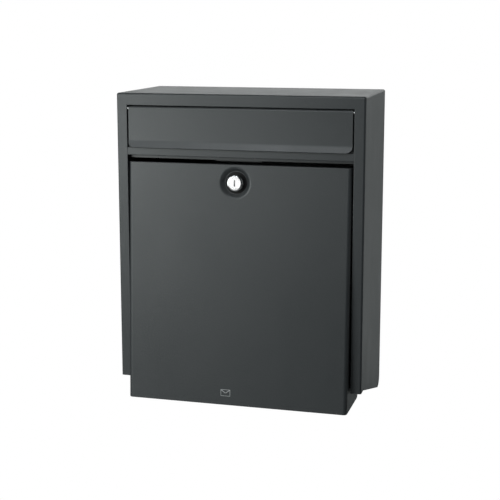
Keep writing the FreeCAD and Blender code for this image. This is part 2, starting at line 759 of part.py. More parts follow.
def ear_rivets():
    parts = []
    grip = dims.ear_thick + dims.steel
    for side, sign in (("left", -1), ("right", 1)):
        x, z = ear_rivet_place(sign)
        start = lip_y - dims.ear_thick
        shank = solid_rod(f"ear_shank_{side}", (0, 1, 0), (x, start, z), dims.rivet_radius, grip)
        head = solid_rod(f"ear_head_{side}", (0, 1, 0), (x, start - dims.rivet_thick, z), dims.rivet_head,
                         dims.rivet_thick)
        tail = solid_rod(f"ear_tail_{side}", (0, 1, 0), (x, start + grip, z), dims.rivet_head,
                         dims.rivet_thick)
        parts.append(fuse(f"ear_rivet_{side}", [shank, head, tail]))
    return group("ear_rivets", parts)


def hinge_pins():
    """Headed pins, pressed into the ears, that the door's cheeks turn on."""
    parts = []
    ear_in = cheek_in - dims.side_play - dims.washer_thick - dims.ear_thick
    long = door_half - ear_in
    for side, sign in (("left", -1), ("right", 1)):
        start = ear_in if sign > 0 else -door_half
        head_start = ear_in - dims.pin_head_thick if sign > 0 else -ear_in
        shank = solid_rod(f"pin_shank_{side}", (1, 0, 0), (start, hinge_y, hinge_z), dims.pin_radius, long)
        head = solid_rod(f"pin_head_{side}", (1, 0, 0), (head_start, hinge_y, hinge_z),
                         dims.pin_head_radius, dims.pin_head_thick)
        parts.append(fuse(f"hinge_pin_{side}", [shank, head]))
    return group("hinge_pins", parts)


def hinge_washers():
    parts = []
    near_face = cheek_in - dims.side_play - dims.washer_thick
    for side, sign in (("left", -1), ("right", 1)):
        start = near_face if sign > 0 else -near_face - dims.washer_thick
        disc = solid_rod(f"washer_disc_{side}", (1, 0, 0), (start, hinge_y, hinge_z), dims.washer_radius,
                         dims.washer_thick)
        hole = solid_rod(f"washer_hole_{side}", (1, 0, 0), (start - 1, hinge_y, hinge_z),
                         dims.pin_radius + dims.washer_slack, dims.washer_thick + 2)
        parts.append(cut(f"hinge_washer_{side}", disc, hole))
    return group("hinge_washers", parts)


def stop_height():
    return door_z - dims.stop_drop


def door_stops():
    """Plates welded behind the border's fold, which carry the door's buffers."""
    inner = cheek_in - dims.stop_in
    wide = open_half + dims.stop_over - inner
    parts = []
    for side, sign in (("left", -1), ("right", 1)):
        start = inner if sign > 0 else -inner - wide
        low = (start, front + dims.border_return, stop_height() - dims.stop_high / 2)
        parts.append(solid_box(f"door_stop_{side}", low, (wide, dims.steel, dims.stop_high)))
    return group("door_stops", parts)


def door_buffers():
    """Rubber pads just behind the rear edges of the door's side folds."""
    edge = door_point_y(dims.door_side_fold, -dims.stop_drop)
    spare = dims.buffer_gap + dims.buffer_radius * sine(dims.door_lean)
    start = edge + spare
    parts = []
    for side, sign in (("left", -1), ("right", 1)):
        place = (sign * (open_half - dims.buffer_radius - dims.buffer_gap), start, stop_height())
        parts.append(solid_rod(f"door_buffer_{side}", (0, 1, 0), place, dims.buffer_radius,
                               front + dims.border_return - start))
    return group("door_buffers", parts)


def lock_gasket():
    body = new_body("lock_gasket")
    hole = dims.barrel_radius + dims.barrel_slack
    turned(body, "profile", [(hole, head_seat), (dims.gasket_radius, head_seat),
                             (dims.gasket_radius, dims.dish_deep), (hole, dims.dish_deep)])
    lean_with_door(body, dims.lock_x, 0, -dims.lock_down)


def lock_housing():
    """Round head in the dish, threaded barrel behind it, bored for the plug."""
    body = new_body("lock_housing")
    face = -dims.head_out
    bore = dims.plug_radius + dims.plug_slack
    counterbore = dims.plug_face_radius + dims.plug_slack
    step = face + dims.plug_face_deep + dims.plug_slack
    turned(body, "profile", [
        (counterbore, face), (dims.head_radius - dims.head_edge, face),
        (dims.head_radius, face + dims.head_edge), (dims.head_radius, head_seat),
        (dims.barrel_radius, head_seat), (dims.barrel_radius, dims.barrel_end),
        (bore, dims.barrel_end), (bore, step), (counterbore, step)])
    lean_with_door(body, dims.lock_x, 0, -dims.lock_down)


def lock_plug():
    """The part that the key turns, with a stub for the cam."""
    body = new_body("lock_plug")
    face = -dims.head_out
    turned(body, "profile", [
        (0, face), (dims.plug_face_radius, face), (dims.plug_face_radius, face + dims.plug_face_deep),
        (dims.plug_radius, face + dims.plug_face_deep), (dims.plug_radius, cam_front),
        (dims.plug_stub, cam_front),
        (dims.plug_stub, cam_back), (0, cam_back)])
    keyway = rectangle(body, "keyway", "XZ_Plane", dims.head_out,
                       (-dims.key_wide / 2, -dims.key_high / 2), (dims.key_wide / 2, dims.key_high / 2))
    pocket(body, keyway, dims.key_deep)
    thread = circles(body, "thread", "XZ_Plane", -cam_back, [(0, 0)], dims.screw_radius)
    pocket(body, thread, dims.screw_deep, back=True)
    lean_with_door(body, dims.lock_x, 0, -dims.lock_down)


def lock_nut():
    """Six-sided nut that clamps the housing against the back of the dish."""
    body = new_body("lock_nut")
    corner = dims.nut_flats / 2 / cosine(as_size(30))
    corners = []
    for step in range(6):
        turn = as_size(60 * step)
        corners.append((corner * cosine(turn), corner * sine(turn)))
    outline = polygon(body, "outline", "XZ_Plane", -dish_back, corners)
    pad(body, outline, dims.nut_thick, back=True)
    bore = circles(body, "bore", "XZ_Plane", -dish_back, [(0, 0)], dims.barrel_radius + dims.barrel_slack)
    pocket(body, bore, 2 * dims.nut_thick + 2, both=True)
    lean_with_door(body, dims.lock_x, 0, -dims.lock_down)


def lock_cam():
    """Flat cam; it lies sideways when the door is unlocked and points up when it is locked."""
    body = new_body("lock_cam")
    half = dims.cam_wide / 2
    arm = rectangle(body, "arm", "XZ_Plane", -cam_front, (half - dims.cam_reach, -half), (0, half))
    pad(body, arm, dims.cam_thick, back=True)
    for name, x in (("hub", as_size(0)), ("tip", half - dims.cam_reach)):
        end = circles(body, name, "XZ_Plane", -cam_front, [(x, 0)], half)
        pad(body, end, dims.cam_thick, back=True)
    hole = circles(body, "hole", "XZ_Plane", -cam_front, [(0, 0)], dims.plug_stub)
    pocket(body, hole, 3 * dims.cam_thick, both=True)
    lean_with_door(body, dims.lock_x, 0, -dims.lock_down)


def cam_washer():
    body = new_body("cam_washer")
    hole = dims.screw_radius + dims.barrel_slack
    back = cam_back + dims.cam_washer_thick
    turned(body, "profile", [(hole, cam_back), (dims.cam_washer_radius, cam_back),
                             (dims.cam_washer_radius, back), (hole, back)])
    lean_with_door(body, dims.lock_x, 0, -dims.lock_down)


def cam_screw():
    body = new_body("cam_screw")
    seat = cam_back + dims.cam_washer_thick
    turned(body, "profile", [
        (0, cam_back - dims.screw_deep), (dims.screw_radius, cam_back - dims.screw_deep),
        (dims.screw_radius, seat), (dims.screw_head, seat),
        (dims.screw_head, seat + dims.screw_head_thick), (0, seat + dims.screw_head_thick)])
    lean_with_door(body, dims.lock_x, 0, -dims.lock_down)


def build():
    casing_wrap()
    back_panel()
    cross_rail()
    strike_plate()
    strike_rivets()
    flap_panel()
    flap_rod()
    flap_buffers()
    door_panel()
    hinge_ear("left", -1)
    hinge_ear("right", 1)
    ear_rivets()
    hinge_pins()
    hinge_washers()
    door_stops()
    door_buffers()
    lock_gasket()
    lock_housing()
    lock_plug()
    lock_nut()
    lock_cam()
    cam_washer()
    cam_screw()
    doc.recompute()


def check_and_write():
    """Stop on any failed object, then write one file per piece."""
    for item in doc.Objects:
        if "Invalid" in item.State or "Error" in item.State:
            raise ValueError(f"{item.Label} failed: {item.State}")
    for piece in PIECES:
        if piece.Shape.isNull() or not piece.Shape.isValid():
            raise ValueError(f"{piece.Label} has no valid shape")
    os.makedirs("parts", exist_ok=True)
    for piece in PIECES:
        piece.Shape.exportStep(f"parts/{piece.Label}.step")


build()
check_and_write()
print(f"{len(PIECES)} pieces written")
print(f"door hinge y {hinge_y.number:.4f} z {hinge_z.number:.4f}")
print(f"flap rod y {rod_y.number:.4f} z {rod_z.number:.4f}")
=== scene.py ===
"""Looks of the wall mailbox: powder-coated sheet steel, chromed cam lock, zinc-plated fittings."""
import json
import math

import bmesh
import bpy
from mathutils import Matrix, Vector


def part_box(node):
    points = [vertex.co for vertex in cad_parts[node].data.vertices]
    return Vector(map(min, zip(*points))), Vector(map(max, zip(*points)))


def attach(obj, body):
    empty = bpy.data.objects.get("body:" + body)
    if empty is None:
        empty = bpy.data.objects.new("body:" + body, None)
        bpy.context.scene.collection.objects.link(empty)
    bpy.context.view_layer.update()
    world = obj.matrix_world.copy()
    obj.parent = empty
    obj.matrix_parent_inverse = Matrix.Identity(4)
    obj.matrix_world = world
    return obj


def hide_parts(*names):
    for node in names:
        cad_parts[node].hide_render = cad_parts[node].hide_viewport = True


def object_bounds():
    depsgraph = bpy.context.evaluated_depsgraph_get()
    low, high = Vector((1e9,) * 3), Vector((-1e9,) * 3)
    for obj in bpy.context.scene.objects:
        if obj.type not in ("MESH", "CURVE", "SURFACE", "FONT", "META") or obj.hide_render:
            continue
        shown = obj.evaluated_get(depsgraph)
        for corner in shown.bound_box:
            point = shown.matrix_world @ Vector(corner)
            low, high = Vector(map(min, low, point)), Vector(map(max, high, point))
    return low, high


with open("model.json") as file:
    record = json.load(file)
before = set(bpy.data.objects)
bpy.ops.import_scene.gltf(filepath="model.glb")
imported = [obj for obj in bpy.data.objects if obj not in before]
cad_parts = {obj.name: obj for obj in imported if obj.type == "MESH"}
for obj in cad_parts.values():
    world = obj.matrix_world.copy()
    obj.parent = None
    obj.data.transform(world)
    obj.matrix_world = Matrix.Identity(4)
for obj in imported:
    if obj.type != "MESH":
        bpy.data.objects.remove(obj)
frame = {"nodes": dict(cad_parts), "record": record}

cad_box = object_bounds()

# Camera: its place in metres, its turn to the left and tilt down in degrees, its lens in millimetres.
CAMERA_PLACE = (0.3251, -1.3209, 0.2424)
CAMERA_TURN = 14.77
CAMERA_DOWN = 9.95
CAMERA_LENS = 81.27
CAMERA_SHIFT = -0.06
SENSOR_WIDE = 36.0

# The box hangs on a wall, so the floor lies this many metres below it. The floor reaches this far each way.
FLOOR_DROP = 1.1
FLOOR_REACH = 14.0

# Where the lights aim: the middle of the box, and the face of the lock.
BOX_MIDDLE = (0.0, -0.1, 0.0)
LOCK_FACE = (-0.0025, -0.145, 0.069)

# Modelling sizes below are in millimetres. Depths run into the box from the door's face.
MILLIMETRE = 0.001
FULL_TURN = 2.0 * math.pi
HEAD_OUT = 3.4
BARREL_END = 16.0
THREAD_START = 5.0
THREAD_PITCH = 1.05
THREAD_COUNT = 10
DISH_BACK = 5.0
NUT_ACROSS = 22.0
NUT_THICK = 4.0
NUT_BORE = 8.1
SCREW_SEAT = 20.9

# Section of a domed head as (radius, depth), and the rivet's other sizes.
DOMED_HEAD = ((0.0, 0.0), (1.1, 0.05), (1.9, 0.3), (2.35, 0.6), (2.5, 0.8))
HEAD_RADIUS, HEAD_HIGH = DOMED_HEAD[-1]
SHANK_RADIUS = 1.5

# Middle of the printed envelope from the lock's axis, its size, and how wide and thick its lines are.
MARK_ACROSS = -9.0
MARK_UP = -237.0
MARK_WIDE = 11.0
MARK_HIGH = 7.6
MARK_LINE = 0.7
MARK_THICK = 0.06

# In degrees: edges that turn by less than SMOOTH_TURN are shaded smooth, by more than SHARP_TURN softened.
SMOOTH_TURN = 30.0
SHARP_TURN = 35.0
BEVEL_STEPS = 2

# The CAD nodes by their finish.
POWDER_COAT = ("casing_wrap", "back_panel", "cross_rail", "strike_plate", "flap_panel", "door_panel",
               "hinge_ear_left", "hinge_ear_right", "door_stops")
ZINC_STEEL = ("flap_rod", "strike_rivets", "ear_rivets", "hinge_pins", "lock_nut", "lock_cam",
              "cam_washer", "cam_screw")
LOCK_CHROME = ("lock_housing", "lock_plug")
# The rubber is darkened as painted shade for the lock gasket.
BLACK_RUBBER = ("flap_buffers", "door_buffers", "lock_gasket")
WHITE_NYLON = ("hinge_washers",)


# ---------------------------------------------------------------- shader groups

def new_group(name, inputs, outputs):
    """An empty shader node group with its sockets; returns the group and its two end nodes."""
    group = bpy.data.node_groups.new(name, "ShaderNodeTree")
    for label, kind, value in inputs:
        socket = group.interface.new_socket(name=label, in_out="INPUT", socket_type=kind)
        if value is not None:
            socket.default_value = value
    for label, kind in outputs:
        group.interface.new_socket(name=label, in_out="OUTPUT", socket_type=kind)
    return group, group.nodes.new("NodeGroupInput"), group.nodes.new("NodeGroupOutput")


def link(tree, source, target):
    tree.links.new(source, target)


def object_noise(tree, scale, detail, rough=0.5, distortion=0.0, stretch=None):
    """Noise on object coordinates; returns its value socket."""
    place = tree.nodes.new("ShaderNodeTexCoord")
    noise = tree.nodes.new("ShaderNodeTexNoise")
    noise.inputs["Scale"].default_value = scale
    noise.inputs["Detail"].default_value = detail
    noise.inputs["Roughness"].default_value = rough
    noise.inputs["Distortion"].default_value = distortion
    source = place.outputs["Object"]
    if stretch:
        mapping = tree.nodes.new("ShaderNodeMapping")
        mapping.inputs["Scale"].default_value = stretch
        link(tree, source, mapping.inputs["Vector"])
        source = mapping.outputs["Vector"]
    link(tree, source, noise.inputs["Vector"])
    return noise.outputs["Fac"]


def remap(tree, source, low, high, to_low, to_high):
    """Stretch the range low to high onto to_low to to_high; returns the result's socket."""
    node = tree.nodes.new("ShaderNodeMapRange")
    node.inputs["From Min"].default_value = low
    node.inputs["From Max"].default_value = high
    node.inputs["To Min"].default_value = to_low
    node.inputs["To Max"].default_value = to_high
    link(tree, source, node.inputs["Value"])
    return node.outputs["Result"]


def blend_colour(tree, factor, first, second):
    """Mix of two colours, each a socket or a plain value."""
    node = tree.nodes.new("ShaderNodeMix")
    node.data_type = "RGBA"
    link(tree, factor, node.inputs["Factor"])
    for value, name in ((first, "A"), (second, "B")):
        socket = next(s for s in node.inputs if s.name == name and s.type == "RGBA")
        if isinstance(value, bpy.types.NodeSocket):
            link(tree, value, socket)
        else:
            socket.default_value = (*value, 1.0)
    return next(s for s in node.outputs if s.type == "RGBA")


def arithmetic(tree, operation, first, second):
    """One sum or product of two values, each a socket or a plain number."""
    node = tree.nodes.new("ShaderNodeMath")
    node.operation = operation
    for socket, value in zip(node.inputs, (first, second)):
        if isinstance(value, bpy.types.NodeSocket):
            link(tree, value, socket)
        else:
            socket.default_value = value
    return node.outputs["Value"]


def fine_texture_group():
    """Grain of sprayed and baked powder: small bumps, larger ripple, a speckle mask."""
    group, start, end = new_group(
        "powder_grain",
        [("Grain", "NodeSocketFloat", 1.0), ("Ripple", "NodeSocketFloat", 1.0)],
        [("Height", "NodeSocketFloat"), ("Speckle", "NodeSocketFloat"), ("Cloud", "NodeSocketFloat")])
    grain = object_noise(group, 1700.0, 2.0, 0.6)
    ripple = object_noise(group, 420.0, 1.0)
    cloud = object_noise(group, 9.0, 3.0)
    fine = arithmetic(group, "MULTIPLY", grain, start.outputs["Grain"])
    broad = arithmetic(group, "MULTIPLY", ripple, start.outputs["Ripple"])
    link(group, arithmetic(group, "ADD", fine, broad), end.inputs["Height"])
    link(group, remap(group, grain, 0.45, 0.75, 0.0, 1.0), end.inputs["Speckle"])
    link(group, cloud, end.inputs["Cloud"])
    return group


def dust_group():
    """Thin dust that settles on faces that look up, broken up by noise."""
    group, start, end = new_group(
        "settled_dust", [("Amount", "NodeSocketFloat", 0.3)], [("Mask", "NodeSocketFloat")])
    facing = group.nodes.new("ShaderNodeNewGeometry")
    split = group.nodes.new("ShaderNodeSeparateXYZ")
    link(group, facing.outputs["Normal"], split.inputs["Vector"])
    upward = remap(group, split.outputs["Z"], 0.2, 1.0, 0.0, 1.0)
    patches = remap(group, object_noise(group, 60.0, 5.0, 0.65), 0.35, 0.75, 0.0, 1.0)
    mask = arithmetic(group, "MULTIPLY", upward, patches)
    link(group, arithmetic(group, "MULTIPLY", mask, start.outputs["Amount"]), end.inputs["Mask"])
    return group


def smudge_group():
    """Faint marks of handling that change the gloss in soft patches."""
    group, start, end = new_group(
        "handling", [("Amount", "NodeSocketFloat", 1.0)], [("Mask", "NodeSocketFloat")])
    wide = remap(group, object_noise(group, 14.0, 4.0, 0.6, 0.6), 0.4, 0.7, 0.0, 1.0)
    streaks = remap(group, object_noise(group, 40.0, 3.0, 0.5, 0.2, (1.0, 1.0, 0.18)), 0.45, 0.8, 0.0, 1.0)
    both = arithmetic(group, "ADD", wide, streaks)
    link(group, arithmetic(group, "MULTIPLY", both, start.outputs["Amount"]), end.inputs["Mask"])
    return group


def brushed_group():
    """Fine drawn lines of plated or turned metal, along one direction."""
    group, start, end = new_group(
        "drawn_lines", [("Depth", "NodeSocketFloat", 1.0)],
        [("Height", "NodeSocketFloat"), ("Tint", "NodeSocketFloat")])
    lines = object_noise(group, 900.0, 3.0, 0.6, 0.0, (0.06, 1.0, 1.0))
    patches = object_noise(group, 160.0, 4.0, 0.6)
    link(group, arithmetic(group, "MULTIPLY", lines, start.outputs["Depth"]), end.inputs["Height"])
    link(group, patches, end.inputs["Tint"])
    return group


GRAIN = fine_texture_group()
DUST = dust_group()
HANDLING = smudge_group()
DRAWN = brushed_group()


def use_group(tree, group, **values):
    """A node that holds the shader group, with its inputs set by name."""
    node = tree.nodes.new("ShaderNodeGroup")
    node.node_tree = group
    for name, value in values.items():
        node.inputs[name].default_value = value
    return node


# ---------------------------------------------------------------- materials

def new_material(name):
    """A material with its node tree and main shader."""
    material = bpy.data.materials.new(name)
    material.use_nodes = True
    tree = material.node_tree
    shader = next(node for node in tree.nodes if node.type == "BSDF_PRINCIPLED")
    return material, tree, shader


def add_bump(tree, shader, height, strength, distance):
    """Feed a height value to the shader's normal; the distance is in metres."""
    bump = tree.nodes.new("ShaderNodeBump")
    bump.inputs["Strength"].default_value = strength
    bump.inputs["Distance"].default_value = distance
    link(tree, height, bump.inputs["Height"])
    link(tree, bump.outputs["Normal"], shader.inputs["Normal"])


def powder_coat():
    """Anthracite powder coat, semi-matt with a fine grain."""
    material, tree, shader = new_material("anthracite_powder_coat")
    grain = use_group(tree, GRAIN, Grain=0.6, Ripple=0.8)
    dust = use_group(tree, DUST, Amount=0.16)
    handling = use_group(tree, HANDLING, Amount=0.5)
    dark, light = (0.032, 0.036, 0.038), (0.038, 0.042, 0.044)
    base = blend_colour(tree, remap(tree, grain.outputs["Cloud"], 0.3, 0.7, 0.0, 1.0), dark, light)
    speckled = blend_colour(tree, arithmetic(tree, "MULTIPLY", grain.outputs["Speckle"], 0.25),
                            base, (0.06, 0.064, 0.066))
    dusty = blend_colour(tree, dust.outputs["Mask"], speckled, (0.32, 0.31, 0.29))
    link(tree, dusty, shader.inputs["Base Color"])
    gloss = remap(tree, handling.outputs["Mask"], 0.0, 1.2, 0.43, 0.36)
    link(tree, arithmetic(tree, "ADD", gloss, arithmetic(tree, "MULTIPLY", dust.outputs["Mask"], 0.5)),
         shader.inputs["Roughness"])
    shader.inputs["Specular IOR Level"].default_value = 0.5
    add_bump(tree, shader, grain.outputs["Height"], 0.22, 0.0004)
    return material


def zinc_steel():
    """Bright zinc plating with the faint spangle and drawn lines of small fittings."""
    material, tree, shader = new_material("zinc_plated_steel")
    drawn = use_group(tree, DRAWN, Depth=0.6)
    tint = remap(tree, drawn.outputs["Tint"], 0.3, 0.7, 0.0, 1.0)
    plated = blend_colour(tree, tint, (0.50, 0.51, 0.52), (0.66, 0.66, 0.64))
    link(tree, plated, shader.inputs["Base Color"])
    link(tree, remap(tree, drawn.outputs["Tint"], 0.3, 0.7, 0.26, 0.42), shader.inputs["Roughness"])
    shader.inputs["Metallic"].default_value = 1.0
    add_bump(tree, shader, drawn.outputs["Height"], 0.15, 0.0002)
    return material


def lock_chrome():
    """Chromed zinc casting, bright with fine polishing marks."""
    material, tree, shader = new_material("chromed_lock")
    handling = use_group(tree, HANDLING, Amount=1.0)
    drawn = use_group(tree, DRAWN, Depth=0.3)
    link(tree, blend_colour(tree, handling.outputs["Mask"], (0.82, 0.82, 0.82), (0.74, 0.74, 0.73)),
         shader.inputs["Base Color"])
    link(tree, remap(tree, handling.outputs["Mask"], 0.0, 1.2, 0.14, 0.24), shader.inputs["Roughness"])
    shader.inputs["Metallic"].default_value = 1.0
    add_bump(tree, shader, drawn.outputs["Height"], 0.06, 0.0001)
    return material


def black_rubber():
    """Black rubber, dull and slightly dusty, with its base darkened further as painted shade for the ring
    round the lock head.
    """
    material, tree, shader = new_material("black_rubber")
    grain = use_group(tree, GRAIN, Grain=1.0, Ripple=1.2)
    dust = use_group(tree, DUST, Amount=0.3)
    # Painted shade: the near-black base and the low specular level below make the gasket ring round the
    # lock read as the shade in a gap; the flap and door pads share this rubber.
    base = blend_colour(tree, grain.outputs["Speckle"], (0.005, 0.005, 0.005), (0.014, 0.014, 0.014))
    dusty = blend_colour(tree, dust.outputs["Mask"], base, (0.1, 0.098, 0.09))
    link(tree, dusty, shader.inputs["Base Color"])
    link(tree, remap(tree, grain.outputs["Cloud"], 0.3, 0.7, 0.6, 0.75), shader.inputs["Roughness"])
    shader.inputs["Specular IOR Level"].default_value = 0.25
    add_bump(tree, shader, grain.outputs["Height"], 0.3, 0.0003)
    return material


def white_nylon():
    """Natural nylon, milky and slightly uneven."""
    material, tree, shader = new_material("natural_nylon")
    grain = use_group(tree, GRAIN, Grain=0.5, Ripple=0.6)
    cloud = remap(tree, grain.outputs["Cloud"], 0.3, 0.7, 0.0, 1.0)
    clouded = blend_colour(tree, cloud, (0.66, 0.65, 0.60), (0.76, 0.75, 0.71))
    link(tree, clouded, shader.inputs["Base Color"])
    link(tree, remap(tree, grain.outputs["Speckle"], 0.0, 1.0, 0.38, 0.5), shader.inputs["Roughness"])
    shader.inputs["Subsurface Weight"].default_value = 0.15
    shader.inputs["Subsurface Scale"].default_value = 0.001
    add_bump(tree, shader, grain.outputs["Height"], 0.1, 0.0002)
    return material


def print_ink():
    """Pale grey pad print, slightly uneven."""
    material, tree, shader = new_material("pale_print")
    grain = use_group(tree, GRAIN, Grain=0.5, Ripple=0.5)
    link(tree, blend_colour(tree, grain.outputs["Speckle"], (0.42, 0.43, 0.43), (0.33, 0.34, 0.34)),
         shader.inputs["Base Color"])
    link(tree, remap(tree, grain.outputs["Cloud"], 0.3, 0.7, 0.45, 0.6), shader.inputs["Roughness"])
    add_bump(tree, shader, grain.outputs["Height"], 0.2, 0.0003)
    return material


# ---------------------------------------------------------------- pieces

def joint_named(name):
    """The joint's entry in the record."""
    return next(joint for joint in frame["record"]["behaviour"]["joints"] if joint["name"] == name)


def lock_matrix():
    """The lock's own frame in millimetres: +Y along its axis into the box, origin at the door's face."""
    joint = joint_named("lock_turn")
    inward = Vector(joint["axis"]).normalized()
    across = Vector((1.0, 0.0, 0.0))
    upward = across.cross(inward)
    turn = Matrix((across, inward, upward)).transposed().to_4x4()
    return Matrix.Translation(joint["pos_m"]) @ turn @ Matrix.Scale(MILLIMETRE, 4)


def along(axis, place):
    """A frame in millimetres whose +Y runs along the axis, with its origin at the place in metres."""
    turn = Vector((0.0, 1.0, 0.0)).rotation_difference(Vector(axis)).to_matrix().to_4x4()
    return Matrix.Translation(place) @ turn @ Matrix.Scale(MILLIMETRE, 4)


def about(degrees, axis):
    """A turn about X, Y or Z."""
    return Matrix.Rotation(math.radians(degrees), 3, axis)


def new_parts(grown, kind):
    """The vertices or edges that an extrusion has made."""
    return [item for item in grown["geom"] if isinstance(item, kind)]


def thicken(mesh, depth):
    """Give a flat mesh a thickness along Z, keeping its first side."""
    grown = bmesh.ops.extrude_face_region(mesh, geom=mesh.faces[:], use_keep_orig=True)
    bmesh.ops.translate(mesh, vec=(0.0, 0.0, depth), verts=new_parts(grown, bmesh.types.BMVert))


def place_in_lock(mesh):
    """Move a mesh made in the lock's own frame to its place in metres."""
    bmesh.ops.transform(mesh, matrix=lock_matrix(), verts=mesh.verts)


def add_turned(mesh, profile, steps, closed=True):
    """Spin (radius, depth) corners in millimetres a full turn about Y; returns the new vertices."""
    before = set(mesh.verts)
    corners = [mesh.verts.new((radius, depth, 0.0)) for radius, depth in profile]
    pairs = list(zip(corners, corners[1:] + corners[:1]))
    edges = [mesh.edges.new(pair) for pair in (pairs if closed else pairs[:-1])]
    bmesh.ops.spin(mesh, geom=corners + edges, cent=(0.0, 0.0, 0.0), axis=(0.0, 1.0, 0.0),
                   dvec=(0.0, 0.0, 0.0), angle=FULL_TURN, steps=steps, use_merge=True)
    bmesh.ops.remove_doubles(mesh, verts=mesh.verts, dist=1e-4)
    return [vert for vert in mesh.verts if vert not in before]


def soften(mesh, radius, least_turn=SHARP_TURN):
    """Round every edge that turns by more than the least angle."""
    limit = math.radians(least_turn)
    sharp = [edge for edge in mesh.edges if edge.is_manifold and edge.calc_face_angle(0.0) > limit]
    bmesh.ops.bevel(mesh, geom=sharp, offset=radius, offset_type="OFFSET", segments=BEVEL_STEPS,
                    profile=0.5, affect="EDGES", clamp_overlap=True, material=-1)


def finish_piece(mesh, name, body, material, nodes=()):
    """Turn the bmesh, already in metres, into a piece that rides on the body."""
    bmesh.ops.recalc_face_normals(mesh, faces=mesh.faces)
    limit = math.radians(SMOOTH_TURN)
    for face in mesh.faces:
        face.smooth = True
    for edge in mesh.edges:
        edge.smooth = edge.calc_face_angle(0.0) < limit
    data = bpy.data.meshes.new(name)
    mesh.to_mesh(data)
    mesh.free()
    data.materials.append(material)
    piece = bpy.data.objects.new(name, data)
    bpy.context.collection.objects.link(piece)
    weighted = piece.modifiers.new("even_faces", "WEIGHTED_NORMAL")
    weighted.keep_sharp = True
    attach(piece, body)
    if nodes:
        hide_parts(*nodes)
    return piece


def softened_copy(node, name, body, material, radius):
    """The node's own shape with its sharp edges rounded."""
    mesh = bmesh.new()
    mesh.from_mesh(frame["nodes"][node].data)
    bmesh.ops.remove_doubles(mesh, verts=mesh.verts, dist=1e-6)
    bmesh.ops.dissolve_limit(mesh, angle_limit=math.radians(0.5), verts=mesh.verts, edges=mesh.edges)
    soften(mesh, radius)
    return finish_piece(mesh, name, body, material, [node])


def lock_head(material):
    """Polished bezel with a groove around its rim, and the threaded barrel behind it."""
    mesh = bmesh.new()
    profile = [(7.28, -1.8), (7.28, -3.2), (7.45, -HEAD_OUT), (7.75, -3.36), (8.15, -3.1), (8.8, -2.45),
               (8.97, -2.2), (9.0, -1.8), (9.0, 0.5), (8.75, 0.65), (8.75, 1.05), (9.0, 1.2), (9.0, 3.2),
               (8.0, 3.2), (7.55, 3.5), (7.55, 4.8)]
    for thread in range(THREAD_COUNT):
        start = THREAD_START + THREAD_PITCH * thread
        profile += [(7.5, start), (8.0, start + 0.42), (8.0, start + 0.58), (7.5, start + 1.0)]
    profile += [(7.5, BARREL_END - 0.3), (7.3, BARREL_END), (6.28, BARREL_END), (6.28, -1.8)]
    add_turned(mesh, profile, 96)
    place_in_lock(mesh)
    return finish_piece(mesh, "lock_head", "door", material, ["lock_housing"])


def cut_keyway(mesh):
    """Split the middle of the plug's face along the keyway and sink the part inside."""
    for normal, reach in (((1, 0, 0), 0.75), ((-1, 0, 0), 0.75), ((0, 0, 1), 3.5), ((0, 0, -1), 3.5)):
        inner = [part for part in mesh.faces if part.calc_center_median().xz.length < 5.0]
        parts = set(inner)
        for part in inner:
            parts.update(part.edges)
            parts.update(part.verts)
        bmesh.ops.bisect_plane(mesh, geom=list(parts), dist=1e-5, plane_co=Vector(normal) * reach,
                               plane_no=normal)
    centre = min(mesh.faces, key=lambda part: part.calc_center_median().xz.length)
    sunk = bmesh.ops.extrude_face_region(mesh, geom=[centre])
    bmesh.ops.translate(mesh, verts=new_parts(sunk, bmesh.types.BMVert), vec=(0.0, 11.0, 0.0))
    if centre.is_valid:
        bmesh.ops.delete(mesh, geom=[centre], context="FACES_ONLY")


def keyed_plug(material):
    """The turning plug: a face with a ring pressed in it and a keyway, and the stub for the cam."""
    mesh = bmesh.new()
    bmesh.ops.create_circle(mesh, cap_ends=True, segments=72, radius=7.05)
    bmesh.ops.rotate(mesh, verts=mesh.verts, matrix=about(90.0, "X"))
    face = next(iter(mesh.faces))
    for thick, depth in ((0.9, 0.0), (0.22, -0.3), (0.25, 0.0), (0.22, 0.3)):
        bmesh.ops.inset_individual(mesh, faces=[face], thickness=thick, depth=depth)
    cut_keyway(mesh)
    rim = [edge for edge in mesh.edges if edge.is_boundary and edge.verts[0].co.xz.length > 6.0]
    for radius, depth in ((7.2, 0.15), (7.2, 1.5), (6.2, 1.5), (6.2, 19.8), (3.4, 19.8), (3.4, 21.6)):
        grown = bmesh.ops.extrude_edge_only(mesh, edges=rim)
        verts = new_parts(grown, bmesh.types.BMVert)
        rim = new_parts(grown, bmesh.types.BMEdge)
        now = verts[0].co.xz.length
        bmesh.ops.scale(mesh, vec=(radius / now, 1.0, radius / now), verts=verts)
        bmesh.ops.translate(mesh, vec=(0.0, depth - verts[0].co.y, 0.0), verts=verts)
    bmesh.ops.holes_fill(mesh, edges=rim, sides=0)
    bmesh.ops.translate(mesh, vec=(0.0, -HEAD_OUT, 0.0), verts=mesh.verts)
    place_in_lock(mesh)
    return finish_piece(mesh, "plug_with_keyway", "lock", material, ["lock_plug"])


def ring_face(mesh, hexagon, circle, turned):
    """A flat face between a six-sided outline and a round one; returns the edges of both."""
    bmesh.ops.create_circle(mesh, segments=6, radius=hexagon)
    bmesh.ops.rotate(mesh, verts=mesh.verts, matrix=about(turned, "Z"))
    bmesh.ops.subdivide_edges(mesh, edges=mesh.edges, cuts=7)
    straight = list(mesh.edges)
    bmesh.ops.create_circle(mesh, segments=48, radius=circle)
    curved = [edge for edge in mesh.edges if edge not in straight]
    bmesh.ops.bridge_loops(mesh, edges=straight + curved)
    return straight, curved


